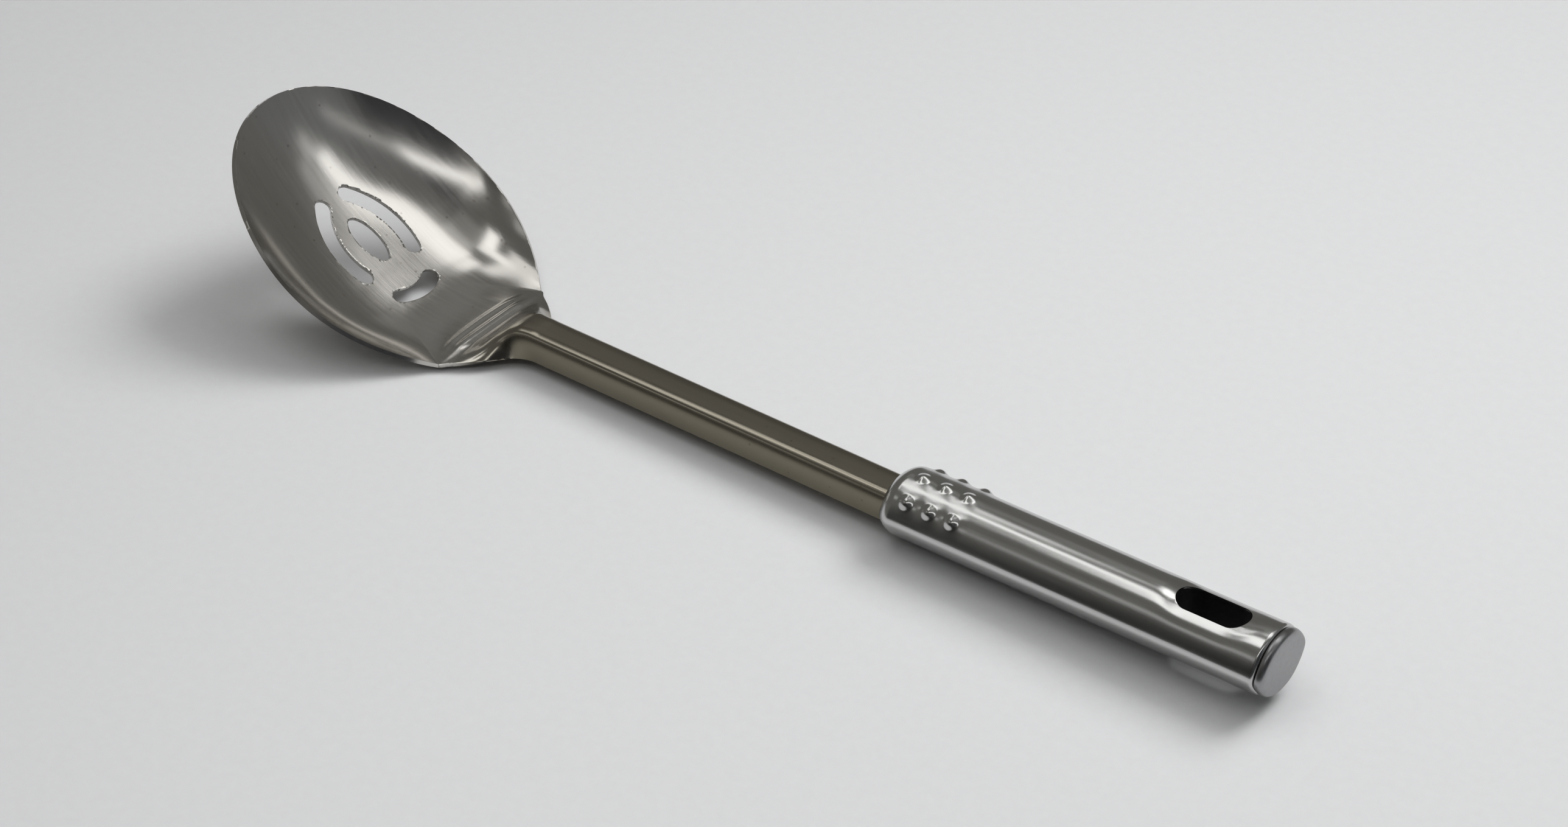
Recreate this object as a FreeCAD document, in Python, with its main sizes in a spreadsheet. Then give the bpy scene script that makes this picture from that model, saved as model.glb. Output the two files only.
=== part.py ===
# Slotted kitchen spoon: a stamped stainless bowl and shank in an oval stainless grip.
# Sizes in mm. The grip axis runs along X, the bowl lies towards -X and +Z is up from the table.
import FreeCAD, Part
import math
import os

os.makedirs("parts", exist_ok=True)

doc = FreeCAD.newDocument("SlottedSpoon")
V = FreeCAD.Vector

sheet = doc.addObject("Spreadsheet::Sheet", "Sizes")
SIZES = [
    ("SheetGauge", 1.2, "thickness of the stamped sheet"),
    ("NeckFront", 147.1, "from the front of the grip to where the neck leaves the bowl"),
    ("BowlLength", 96.4, "length of the rim oval along the grip axis"),
    ("BowlHalfWidth", 38.2, "mean half width of the rim oval"),
    ("BowlEgg", 6.6, "extra half width towards the tip"),
    ("BowlSquare", 3.5, "fullness of the oval"),
    ("BowlPoint", 1.1, "narrowing towards both ends"),
    ("CornerAngle", 137.09, "degrees round the oval from its tip to a corner of the neck"),
    ("RimMiddle", 14.5, "height of the rim at mid length over the grip axis"),
    ("RimRake", 29.1, "rise of the rim from mid length to the tip"),
    ("RimSag", 2.9, "sag of the rim between its ends"),
    ("RimCurl", 1.7, "easing of the rake at both ends"),
    ("FloorKnee", 3.6, "start of the levelling floor ahead of the middle of the oval"),
    ("FloorKneeLevel", 3.2, "height of the floor at the knee over the grip axis"),
    ("FloorSlope", 0.62, "rise per mm of the raked floor"),
    ("FloorEndSlope", 0.12, "rise per mm of the floor where the neck starts"),
    ("DishPower", 2.8, "how late the dish turns up into its wall at the tip"),
    ("DishPowerNeck", 6.0, "the same at the corners of the neck, where the floor stays flat longer"),
    ("NeckFloorLevel", 3.6, "floor at the neck below the grip axis"),
    ("NeckCornerLevel", 4.8, "corners of the neck below the grip axis"),
    ("NeckFlatHalf", 13.8, "half width of the flat floor at the neck"),
    ("NeckFoot", 2.5, "from the neck front to the foot of the wall that climbs to the shank"),
    ("NeckStep", 8.3, "from the neck front to the middle of that wall"),
    ("NeckShoulder", 15.6, "from the neck front to the full height of the shank"),
    ("NeckLength", 23.1, "from the neck front to the plain channel of the shank"),
    ("ShankHalfWidth", 5.5, "half width over the folded flanges"),
    ("ShankTop", 2.4, "top of the shank over the grip axis at the grip"),
    ("ShankDepth", 7.0, "height of the folded flanges"),
    ("ShankRise", 0.013, "rise of the shank per mm towards the bowl"),
    ("ShankTail", 42.0, "length of the shank inside the grip"),
    ("CentreSlotAhead", 11.9, "middle of the centre slot ahead of the middle of the oval"),
    ("CentreSlotLong", 8.4, "half length of the centre slot along the floor"),
    ("CentreSlotWide", 3.9, "half width of the centre slot"),
    ("SlotWidth", 5.2, "width of the curved slots"),
    ("SideSlotRadius", 25.5, "radius of the side slots"),
    ("SideSlotReach", 11.5, "side slots from the centre line"),
    ("SideSlotMid", 1.5, "apex of the side slots behind the pole"),
    ("SideSlotFront", 17.0, "from the apex to the front end centre of a side slot"),
    ("SideSlotBack", 7.5, "from the apex to the rear end centre of a side slot"),
    ("CrossSlotReach", 21.8, "middle of the cross slot behind the pole"),
    ("CrossSlotRadius", 13.0, "radius of the cross slot"),
    ("CrossSlotHalf", 6.4, "half distance between the end centres of the cross slot"),
    ("GripLength", 118.6, "length of the grip tube"),
    ("GripHalfWidth", 11.75, "half width of the oval"),
    ("GripHalfHeight", 9.5, "half height of the oval"),
    ("GripWall", 0.9, "wall of the grip tube"),
    ("GripNose", 4.5, "rounding of the front end"),
    ("GripRearEdge", 0.8, "rounding of the rear edge"),
    ("ShankClearance", 0.15, "gap round the shank in the front opening"),
    ("StudBase", 5.0, "diameter of a stud at the tube"),
    ("StudHeight", 1.0, "height of a stud"),
    ("StudFirst", 8.2, "first row of studs from the front"),
    ("StudPitch", 7.4, "pitch of the rows"),
    ("StudSide", 8.15, "outer columns from the centre line"),
    ("HangSlotFromRear", 19.0, "middle of the hang slot from the rear edge of the tube"),
    ("HangSlotLength", 21.5, "length of the hang slot"),
    ("HangSlotWidth", 9.6, "width of the hang slot"),
    ("CapPlug", 5.0, "length of the cap inside the tube"),
    ("CapSeam", 0.3, "width of the seam between tube and cap"),
    ("CapHead", 2.3, "thickness of the cap outside"),
    ("CapInset", 0.5, "cap head inside the outline of the tube"),
    ("CapEdge", 1.0, "rounding of the cap edge"),
    ("FitClearance", 0.05, "gap between the tube and what sits in it"),
]
for row, (alias, value, note) in enumerate(SIZES, start=1):
    sheet.set(f"A{row}", alias)
    sheet.set(f"B{row}", str(value))
    sheet.setAlias(f"B{row}", alias)
    sheet.set(f"C{row}", note)
doc.recompute()


def size(alias):
    return float(sheet.get(alias))


def bind(obj, **formulas):
    for prop, formula in formulas.items():
        obj.setExpression(prop.replace("__", "."), formula)


GAUGE = size("SheetGauge")
NECK_FRONT = -size("NeckFront")
FLOOR_TILT = math.atan(size("FloorSlope"))
# the corner where the oval runs into the neck fixes the oval along the axis
CORNER = math.radians(size("CornerAngle"))
OVAL_MIDDLE = NECK_FRONT + size("BowlLength") / 2 * math.cos(CORNER)
POLE = OVAL_MIDDLE - size("CentreSlotAhead")


def rim(phi):
    c = math.cos(phi)
    x = OVAL_MIDDLE - size("BowlLength") / 2 * c
    half = size("BowlHalfWidth") + size("BowlEgg") * c
    half += -size("BowlSquare") * math.cos(2 * phi) + size("BowlPoint") * math.cos(3 * phi)
    z = size("RimMiddle") + size("RimRake") * c + size("RimSag") * c * c - size("RimCurl") * c ** 3
    return V(x, half * math.sin(phi), z)


CORNER_POINT = V(NECK_FRONT, rim(CORNER).y, -size("NeckCornerLevel"))


def floor(x):
    # straight rake towards the tip, then a smooth curve that levels out at the neck
    knee = OVAL_MIDDLE - size("FloorKnee")
    if x <= knee:
        return size("FloorKneeLevel") + size("FloorSlope") * (knee - x)
    run = NECK_FRONT - knee
    t = (x - knee) / run
    start = (2 * t ** 3 - 3 * t ** 2 + 1) * size("FloorKneeLevel")
    start -= (t ** 3 - 2 * t ** 2 + t) * run * size("FloorSlope")
    end = -(3 * t ** 2 - 2 * t ** 3) * size("NeckFloorLevel")
    end += (t ** 3 - t ** 2) * run * size("FloorEndSlope")
    return start + end


def inner(phi):
    # a small oval inside the centre slot, where the dish surface starts
    half_length = 0.8 * size("CentreSlotLong") * math.cos(FLOOR_TILT)
    half_width = 0.8 * size("CentreSlotWide")
    return V(POLE - half_length * math.cos(phi), half_width * math.sin(phi), 0)


def dish_section(phi, outer, upright_end):
    # closed upright section of the sheet between the centre slot and a point of its outline
    a = inner(phi)
    reach = math.hypot(outer.x - a.x, outer.y - a.y)
    start = math.hypot(a.x - POLE, a.y) / math.hypot(outer.x - POLE, outer.y)
    wall = outer.z - floor(outer.x)
    share_round = min(phi / CORNER, 1)
    power = size("DishPower") + (size("DishPowerNeck") - size("DishPower")) * share_round ** 3
    along = V((outer.x - a.x) / reach, (outer.y - a.y) / reach, 0)

    def level(q):
        x = a.x + along.x * q
        rho = start + (1 - start) * q / reach
        return floor(x) + wall * rho ** power

    top = []
    under = []
    for share in (0, 0.2, 0.4, 0.58, 0.72, 0.83, 0.92, 1):
        q = share * reach
        slope = (level(q + 0.01) - level(q - 0.01)) / 0.02
        drop = GAUGE / math.hypot(1, slope)
        shift = drop * slope
        if share == 1 and upright_end:
            drop = GAUGE
            shift = 0
        z = level(q)
        if share == 1:
            z = outer.z
        top.append(V(a.x + along.x * q, a.y + along.y * q, z))
        under.append(V(a.x + along.x * (q + shift), a.y + along.y * (q + shift), z - drop))
    upper = Part.BSplineCurve()
    upper.interpolate(top)
    lower = Part.BSplineCurve()
    lower.interpolate(under)
    edges = [
        upper.toShape(),
        Part.makeLine(top[-1], under[-1]),
        lower.toShape(),
        Part.makeLine(under[0], top[0]),
    ]
    return Part.Wire(Part.__sortEdges__(edges))


def fan(sections):
    return Part.makeLoft(sections, True, False)


# half of the dish in three fans round the pole: the walled oval, the corner and the flat floor
rim_steps = 11
oval = []
for i in range(rim_steps + 1):
    phi = CORNER * i / rim_steps
    point = rim(phi)
    if i == rim_steps:
        point = CORNER_POINT
    oval.append(dish_section(phi, point, i == rim_steps))
flat_point = V(NECK_FRONT, size("NeckFlatHalf"), -size("NeckFloorLevel"))
middle_point = V(NECK_FRONT, 0, -size("NeckFloorLevel"))
flat_phi = CORNER + 0.45 * (math.pi - CORNER)
corner = []
for i in range(4):
    share = i / 3
    point = CORNER_POINT + (flat_point - CORNER_POINT) * share
    corner.append(dish_section(CORNER + (flat_phi - CORNER) * share, point, True))
flat = []
for i in range(4):
    share = i / 3
    point = flat_point + (middle_point - flat_point) * share
    flat.append(dish_section(flat_phi + (math.pi - flat_phi) * share, point, True))
half_dish = fan(oval).fuse([fan(corner), fan(flat)])
mirrored = half_dish.mirror(V(0, 0, 0), V(0, 1, 0))


def folded_section(x, flat_half, edge_half, top, edge, square):
    # closed section of the folded sheet across the axis: flat top, rounded fold, flange
    fall = top - edge
    spread = edge_half - flat_half
    if square:
        upper = [
            (0, top),
            (flat_half * 0.5, top),
            (flat_half, top),
            (flat_half + spread * 0.3, top - fall * 0.3),
            (flat_half + spread * 0.65, top - fall * 0.65),
            (edge_half, edge),
        ]
    else:
        upper = [
            (0, top),
            (flat_half * 0.62, top),
            (flat_half * 0.9, top - fall * 0.1),
            (flat_half + spread * 0.1, top - fall * 0.3),
            (flat_half + spread * 0.5, top - fall * 0.65),
            (edge_half, edge),
        ]
    lower = []
    for i, (y, z) in enumerate(upper):
        if i == 0 or square:
            lower.append((y, z - GAUGE))
            continue
        a = upper[i - 1]
        b = upper[min(i + 1, len(upper) - 1)]
        run = math.hypot(b[0] - a[0], b[1] - a[1])
        ny = (b[1] - a[1]) / run
        nz = -(b[0] - a[0]) / run
        if i == len(upper) - 1:
            nz = min(0.0, nz) * (1 + ny)
        lower.append((y + ny * GAUGE, z + nz * GAUGE))
    half = [V(x, y, z) for y, z in upper] + [V(x, y, z) for y, z in reversed(lower)]
    other = [V(x, -p.y, p.z) for p in reversed(half[1:-1])]
    return Part.makePolygon(half + other + [half[0]])


def shank_top(x):
    return size("ShankTop") - size("ShankRise") * x


def shank_edge(x):
    return shank_top(x) - size("ShankDepth")


half_shank = size("ShankHalfWidth")
front_edge = -size("NeckCornerLevel")
neck_run = size("NeckLength")
back = NECK_FRONT + neck_run
stations = [(NECK_FRONT, size("NeckFlatHalf"), CORNER_POINT.y, -size("NeckFloorLevel"), front_edge)]
for along, flat_share, edge_share, top_share in (
    (size("NeckFoot"), 0.62, 0.885, 0.0),
    (size("NeckStep"), 0.42, 0.615, 0.43),
    ((size("NeckStep") + size("NeckShoulder")) / 2, 0.22, 0.355, 0.84),
    (size("NeckShoulder"), 0.06, 0.135, 1.0),
    (neck_run, 0.0, 0.0, 1.0),
):
    x = NECK_FRONT + along
    grip_flat = half_shank * 0.9
    flat_half = grip_flat + (size("NeckFlatHalf") - grip_flat) * flat_share
    edge_half = half_shank + (CORNER_POINT.y - half_shank) * edge_share
    top = -size("NeckFloorLevel") + (shank_top(back) + size("NeckFloorLevel")) * top_share
    edge = front_edge + (shank_edge(back) - front_edge) * along / neck_run
    stations.append((x, flat_half, edge_half, top, edge))
neck = Part.makeLoft(
    [folded_section(*s, i == 0) for i, s in enumerate(stations)], True, False
)
tail = size("ShankTail")
shank = Part.makeLoft(
    [
        folded_section(x, half_shank * 0.9, half_shank, shank_top(x), shank_edge(x), False)
        for x in (back, tail)
    ],
    True,
    True,
)
stamping = half_dish.fuse([mirrored, neck, shank])

# the slots are punched square to the raked floor
floor_plane = FreeCAD.Placement(
    V(POLE, 0, floor(POLE)), FreeCAD.Rotation(V(0, 1, 0), math.degrees(FLOOR_TILT))
)
PUNCH = 20 * GAUGE


def punch(outline):
    face = Part.Face(outline)
    face.translate(V(0, 0, -PUNCH / 2))
    tool = face.extrude(V(0, 0, PUNCH))
    tool.Placement = floor_plane.multiply(tool.Placement)
    return tool


def curved_slot(centre, radius, first, last):
    # slot of even width along an arc, with round ends; angles in radians
    half = size("SlotWidth") / 2

    def at(r, angle):
        return centre + V(r * math.cos(angle), r * math.sin(angle), 0)

    middle = (first + last) / 2
    turn = half / radius
    edges = [
        Part.Arc(at(radius + half, first), at(radius + half, middle), at(radius + half, last)),
        Part.Arc(at(radius + half, last), at(radius, last + turn), at(radius - half, last)),
        Part.Arc(at(radius - half, last), at(radius - half, middle), at(radius - half, first)),
        Part.Arc(at(radius - half, first), at(radius, first - turn), at(radius + half, first)),
    ]
    return Part.Wire([edge.toShape() for edge in edges])


centre_slot = Part.Ellipse(V(0, 0, 0), size("CentreSlotLong"), size("CentreSlotWide"))
outlines = [Part.Wire([centre_slot.toShape()])]
side_radius = size("SideSlotRadius")
for side in (1, -1):
    centre = V(size("SideSlotMid"), side * (size("SideSlotReach") - side_radius), 0)
    ahead = math.asin(size("SideSlotFront") / side_radius)
    behind = math.asin(size("SideSlotBack") / side_radius)
    up = side * math.pi / 2
    if side > 0:
        outlines.append(curved_slot(centre, side_radius, up - behind, up + ahead))
    else:
        outlines.append(curved_slot(centre, side_radius, up - ahead, up + behind))
cross_radius = size("CrossSlotRadius")
swing = math.asin(size("CrossSlotHalf") / cross_radius)
cross_centre = V(size("CrossSlotReach") - cross_radius, 0, 0)
outlines.append(curved_slot(cross_centre, cross_radius, -swing, swing))
for outline in outlines:
    stamping = stamping.cut(punch(outline))

blank = doc.addObject("Part::Feature", "SpoonBlank")
blank.Shape = stamping

# local axes of an oval section: its long axis across the grip, extruded along the grip
ACROSS = FreeCAD.Rotation(V(1, 1, 1), 120)


def oval_bar(name, half_width, half_height, start, length):
    profile = doc.addObject("Part::Ellipse", name + "Profile")
    bind(profile, MajorRadius=half_width, MinorRadius=half_height, Placement__Base__x=start)
    profile.Placement = FreeCAD.Placement(V(0, 0, 0), ACROSS)
    bar = doc.addObject("Part::Extrusion", name)
    bar.Base = profile
    bar.DirMode = "Custom"
    bar.Dir = V(1, 0, 0)
    bar.Solid = True
    bind(bar, LengthFwd=length)
    return bar


def rounded(name, base, x, radius):
    # rounds the edges that lie in the plane across the grip at x
    doc.recompute()
    fillet = doc.addObject("Part::Fillet", name)
    fillet.Base = base
    fillet.Edges = [
        (i, radius, radius)
        for i, edge in enumerate(base.Shape.Edges, start=1)
        if abs(edge.BoundBox.XMin - x) < 0.001 and abs(edge.BoundBox.XMax - x) < 0.001
    ]
    return fillet


def cut(name, base, tool):
    result = doc.addObject("Part::Cut", name)
    result.Base = base
    result.Tool = tool
    return result


grip_bar = oval_bar("GripBar", "Sizes.GripHalfWidth", "Sizes.GripHalfHeight", "0", "Sizes.GripLength")
grip_nose = rounded("GripNosed", grip_bar, 0, size("GripNose"))
grip_solid = rounded("GripSolid", grip_nose, size("GripLength"), size("GripRearEdge"))
studs = []
for column in (-1, 0, 1):
    y = column * size("StudSide")
    z = size("GripHalfHeight") * math.sqrt(1 - (y / size("GripHalfWidth")) ** 2)
    ball = ((size("StudBase") / 2) ** 2 + size("StudHeight") ** 2) / (2 * size("StudHeight"))
    lean = math.atan2(y / size("GripHalfWidth") ** 2, z / size("GripHalfHeight") ** 2)
    sunk = ball - size("StudHeight")
    for place in range(3):
        stud = doc.addObject("Part::Sphere", f"Stud{column + 2}{'ABC'[place]}")
        stud.Radius = ball
        x = size("StudFirst") + place * size("StudPitch")
        stud.Placement.Base = V(x, y - sunk * math.sin(lean), z - sunk * math.cos(lean))
        studs.append(stud)
studded = doc.addObject("Part::MultiFuse", "GripStudded")
studded.Shapes = [grip_solid] + studs

bore_bar = oval_bar(
    "BoreBar",
    "Sizes.GripHalfWidth - Sizes.GripWall",
    "Sizes.GripHalfHeight - Sizes.GripWall",
    "Sizes.GripWall",
    "Sizes.GripLength",
)
bore = rounded("Bore", bore_bar, size("GripWall"), size("GripNose") - size("GripWall"))
grip_shell = cut("GripShell", studded, bore)


def block(name, length, width, height, x, y, z):
    box = doc.addObject("Part::Box", name)
    bind(box, Length=length, Width=width, Height=height)
    bind(box, Placement__Base__x=x, Placement__Base__y=y, Placement__Base__z=z)
    return box


mouth = block(
    "ShankMouth",
    "Sizes.GripNose + Sizes.GripWall",
    "2 * (Sizes.ShankHalfWidth + Sizes.ShankClearance)",
    "Sizes.ShankDepth + 2 * Sizes.ShankClearance",
    "-Sizes.GripWall",
    "-(Sizes.ShankHalfWidth + Sizes.ShankClearance)",
    "Sizes.ShankTop - Sizes.ShankDepth - Sizes.ShankClearance",
)
grip_open = cut("GripOpen", grip_shell, mouth)


def hang_slot(name, extra):
    # upright obround prism through the grip; extra is taken off its half width
    half = size("HangSlotWidth") / 2 - extra
    straight = (size("HangSlotLength") - size("HangSlotWidth")) / 2
    middle = size("GripLength") - size("HangSlotFromRear")
    deep = 2 * size("GripHalfHeight")
    prism = doc.addObject("Part::Feature", name)
    front = middle - straight
    rear = middle + straight
    edges = [
        Part.makeLine(V(front, half, -deep), V(rear, half, -deep)),
        Part.Arc(V(rear, half, -deep), V(rear + half, 0, -deep), V(rear, -half, -deep)).toShape(),
        Part.makeLine(V(rear, -half, -deep), V(front, -half, -deep)),
        Part.Arc(V(front, -half, -deep), V(front - half, 0, -deep), V(front, half, -deep)).toShape(),
    ]
    prism.Shape = Part.Face(Part.Wire(edges)).extrude(V(0, 0, 2 * deep))
    return prism


tube = cut("HandleTube", grip_open, hang_slot("HangSlot", 0))

# the core fills the tube up to the cap plug and is moulded round the shank tail
core_bar = oval_bar(
    "CoreBar",
    "Sizes.GripHalfWidth - Sizes.GripWall - Sizes.FitClearance",
    "Sizes.GripHalfHeight - Sizes.GripWall - Sizes.FitClearance",
    "Sizes.GripWall + Sizes.FitClearance",
    "Sizes.GripLength - Sizes.CapPlug - Sizes.GripWall - 2 * Sizes.FitClearance",
)
core_nose = size("GripNose") - size("GripWall") - size("FitClearance")
core_solid = rounded("CoreSolid", core_bar, size("GripWall") + size("FitClearance"), core_nose)
core_tunnel = cut("CoreTunnel", core_solid, hang_slot("HangTunnel", 0))
core = cut("HandleCore", core_tunnel, blank)

plug = oval_bar(
    "CapPlugBar",
    "Sizes.GripHalfWidth - Sizes.GripWall - Sizes.FitClearance",
    "Sizes.GripHalfHeight - Sizes.GripWall - Sizes.FitClearance",
    "Sizes.GripLength - Sizes.CapPlug",
    "Sizes.CapPlug + Sizes.CapSeam",
)
head_bar = oval_bar(
    "CapHeadBar",
    "Sizes.GripHalfWidth - Sizes.CapInset",
    "Sizes.GripHalfHeight - Sizes.CapInset",
    "Sizes.GripLength + Sizes.CapSeam",
    "Sizes.CapHead",
)
cap_end = size("GripLength") + size("CapSeam") + size("CapHead")
head = rounded("CapHeadRounded", head_bar, cap_end, size("CapEdge"))
cap = doc.addObject("Part::MultiFuse", "EndCap")
cap.Shapes = [plug, head]
doc.recompute()

# the spoon rests on the front of the grip and on the two corners of the neck
pieces = {"spoon_blank": blank, "handle_tube": tube, "handle_core": core, "end_cap": cap}


def rest_boxes(pitch):
    turn = FreeCAD.Placement(V(0, 0, 0), FreeCAD.Rotation(V(0, 1, 0), -pitch))
    found = []
    for piece in pieces.values():
        shape = piece.Shape.copy()
        shape.Placement = turn.multiply(shape.Placement)
        found.append(shape.optimalBoundingBox(False))
    return turn, found


pitch = 0.0
for _ in range(3):
    rest, boxes = rest_boxes(pitch)
    drop = boxes[0].ZMin - boxes[1].ZMin
    pitch += math.degrees(math.atan(drop / (size("NeckFront") + size("GripNose"))))
rest, boxes = rest_boxes(pitch)
middle = (min(box.XMin for box in boxes) + max(box.XMax for box in boxes)) / 2
rest.Base = V(-middle, 0, -min(box.ZMin for box in boxes))

nodes = []
for label, piece in pieces.items():
    node = doc.addObject("Part::Feature", piece.Name + "AtRest")
    node.Label = label
    node.Shape = piece.Shape
    node.Placement = rest.multiply(piece.Placement)
    nodes.append(node)
doc.recompute()

for obj in doc.Objects:
    if "Invalid" in obj.State or "Error" in obj.State:
        raise RuntimeError(f"{obj.Name} failed: {obj.State}")
for node in nodes:
    if node.Shape.isNull() or not node.Shape.isValid():
        raise RuntimeError(f"{node.Label} has no valid shape")
for node in nodes:
    node.Shape.exportStep(f"parts/{node.Label}.step")
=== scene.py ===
import math
import bpy
import bmesh
import numpy as np
from mathutils import Matrix, Vector


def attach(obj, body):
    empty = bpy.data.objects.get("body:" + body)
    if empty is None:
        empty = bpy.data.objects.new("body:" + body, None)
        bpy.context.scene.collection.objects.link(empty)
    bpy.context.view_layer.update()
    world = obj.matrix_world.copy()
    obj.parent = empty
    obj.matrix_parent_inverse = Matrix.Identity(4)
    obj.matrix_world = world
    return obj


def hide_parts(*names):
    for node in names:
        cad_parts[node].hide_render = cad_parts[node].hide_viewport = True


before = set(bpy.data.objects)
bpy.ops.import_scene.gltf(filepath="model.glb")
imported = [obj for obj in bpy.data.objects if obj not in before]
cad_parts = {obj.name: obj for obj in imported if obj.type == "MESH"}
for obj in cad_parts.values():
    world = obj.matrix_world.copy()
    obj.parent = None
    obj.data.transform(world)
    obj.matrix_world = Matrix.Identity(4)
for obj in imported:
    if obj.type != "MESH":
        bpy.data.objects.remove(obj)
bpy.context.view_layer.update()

# Sizes of the spoon are in millimetres and become metres where a mesh is made.
MM = 0.001
WELD = 0.000001       # points closer than this, in metres, are one point

# The spoon is described along its grip axis, with x = 0 at the front of the grip. It is then
# laid down with a small pitch, so that the grip and the corners of the neck touch the table.
PITCH = math.radians(1.3042)
GRIP_FRONT_AT = (55.616, 0.0, 9.3965)

# Sizes of the stamped sheet
GAUGE = 1.2                 # thickness
NECK_FRONT = -147.1         # where the neck leaves the bowl
BOWL_TIP = -230.6
BOWL_LENGTH = 96.4          # of the rim's oval, which the neck cuts short
RIM_HALF_WIDTH = 38.2       # mean half width of the oval
RIM_EGG = 6.6               # extra half width towards the tip
RIM_SQUARE = 3.5            # fullness of the oval
RIM_POINT = 1.1             # narrowing towards both ends
RIM_MIDDLE = 14.5           # height of the rim at mid length
RIM_RAKE = 29.1             # its rise from there to the tip
RIM_SAG = 2.9               # its sag between the ends
RIM_CURL = 1.7              # easing of the rake at both ends
FLOOR_KNEE = -186.0         # where the raked floor starts to level out
FLOOR_KNEE_LEVEL = 3.2
FLOOR_SLOPE = 0.62          # rise per mm towards the tip
FLOOR_END_SLOPE = 0.12      # rise per mm towards the grip where the neck starts
NECK_FLOOR_LEVEL = -3.6
NECK_CORNER_LEVEL = -4.8
DISH_POWER = 2.8            # how late the dish turns up into its wall at the tip
DISH_POWER_NECK = 6.0       # the same at the corners of the neck
NECK_END = -124.0           # where the neck becomes the plain channel of the shank
SHANK_HALF_WIDTH = 5.5
SHANK_FLAT_HALF = 4.95
SHANK_TOP = 2.4             # over the grip axis, at the grip
SHANK_RISE = 0.013          # rise per mm towards the bowl
SHANK_DEPTH = 7.0
SHANK_TAIL_END = 30.0

# Slots of the bowl, laid out in the plane of its raked floor
POLE = -194.3               # the middle of the centre slot, from which the others are measured
CENTRE_SLOT_LONG = 8.4      # half length
CENTRE_SLOT_WIDE = 3.9      # half width
SLOT_HALF_WIDTH = 2.6       # of the curved slots
SIDE_SLOT_RADIUS = 25.5
SIDE_SLOT_REACH = 11.5      # from the centre line
SIDE_SLOT_MIDDLE = 1.5      # its widest place behind the pole
SIDE_SLOT_FRONT = 17.0      # from there to the middle of its front end
SIDE_SLOT_BACK = 7.5        # from there to the middle of its rear end
CROSS_SLOT_REACH = 21.8     # behind the pole
CROSS_SLOT_RADIUS = 13.0
CROSS_SLOT_HALF = 6.4       # half distance between the middles of its ends

# Stations of the neck: x, half width of the flat top, half width over the edges,
# height of the top, height of the edge
NECK = np.array([
    (NECK_FRONT, 13.8, 23.0, NECK_FLOOR_LEVEL, NECK_CORNER_LEVEL),
    (-144.9, 10.8, 21.2, -3.75, -4.65),
    (-141.7, 9.3, 18.7, -2.3, -4.35),
    (-138.8, 8.5, 16.0, -0.2, -4.1),
    (-136.6, 7.2, 13.6, 1.5, -3.9),
    (-134.5, 6.2, 10.8, 2.9, -3.75),
    (-131.0, 5.3, 7.5, 4.05, -3.35),
    (-127.5, 4.97, 6.0, 4.15, -3.1),
    (NECK_END, SHANK_FLAT_HALF, SHANK_HALF_WIDTH, 4.02, -2.98),
])
NECK_MOUTH = 23.0           # half width over the edges at which the fold is wide open

# Press ridges across the neck: place on the centre line, bow, half reach, height, width
RIDGES = (
    (-151.3, 0.0043, 17.5, 0.20, 0.95),
    (-147.6, 0.0000, 14.5, 0.22, 0.75),
)
RIDGE_FADE_INSIDE = 5.0     # a ridge starts to fade this far inside the end of its reach
RIDGE_FADE_OUTSIDE = 1.5    # and is gone this far outside

# Fineness of the sheet's mesh
ACROSS = 44                 # steps from the centre line to the edge of the neck and shank
RIM_STEPS = 96              # steps along half of the rim, from its tip to the corner of the neck
RIM_ZONE = 0.86             # from here on the rings of the dish lie closer together
RINGS = [*np.linspace(0.0, RIM_ZONE, 48)[:-1], *np.linspace(RIM_ZONE, 1.0, 31)]
INSIDE_SLOT = 0.72          # the rings start inside the centre slot, at this share of its size
NECK_FOOT_END = -144.0      # the rows of the neck lie closer together up to here
SLOT_SIDE_STEPS = 39        # along each long side of a curved slot
SLOT_END_STEPS = 16         # round each of its ends

# Sizes of the grip tube. Its nose edge and bore rows are pairs of a place along the tube and how
# far the section is drawn in there.
GRIP_HALF_WIDTH = 11.9
GRIP_HALF_HEIGHT = 9.5
GRIP_LENGTH = 118.6
GRIP_WALL = 0.9
TIGHT_SIDE = 0.36           # how much sharper than an ellipse the sides of the oval turn
NOSE = 4.5                  # length of the rounded front end
NOSE_DRAW = 2.6             # how far the front end is drawn in, before its rounded edge
NOSE_EDGE = [(0.0, 3.3), (0.06, 2.9), (0.18, 2.55), (0.36, 2.22), (0.6, 1.953)]
REAR_ROUND = 1.2            # rounding at the rear end
REAR_LIP_DEPTH = 2.5        # how far the rear edge is turned in
STUD_ROWS = (8.2, 15.6, 23.0)
STUD_SIDE = 8.15            # outer columns of studs from the centre line
STUD_HEIGHT, STUD_FLAT, STUD_FOOT = 0.65, 0.2, 2.6      # the button of a stud
SWELL_HEIGHT, SWELL_SPREAD = 0.35, 2.6                  # the soft swelling around it
SWELL_FADE_START, SWELL_FADE_END = 4.0, 6.0
STUD_ZONE_END = 29.0        # no stud lifts the tube behind this
SLOT_ZONE_START = 80.0      # the hang slot draws nothing in before this
DIP_DEPTH, DIP_SPREAD = 0.45, 2.6                       # drawn-in metal around the hang slot
HANG_SLOT_MIDDLE = 99.6
HANG_SLOT_HALF_WIDTH = 4.8
HANG_SLOT_HALF_STRAIGHT = 5.95
MOUTH_HALF_WIDTH = 5.65     # the opening in the front end that the shank goes through
MOUTH_TOP, MOUTH_BOTTOM = 2.55, -4.75
MOUTH_DEPTH = 5.6
TUBE_AROUND = 264           # points around the tube
STUD_STEP = 0.3             # between the rings of points where the studs are
BORE_AROUND = 96
BORE_ROWS = ((GRIP_WALL, NOSE), (2.2, 2.0), (NOSE, GRIP_WALL), (GRIP_LENGTH - 3.4, GRIP_WALL))
CUT_PAST = 10.0             # a cutter reaches this far past the sheet
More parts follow.
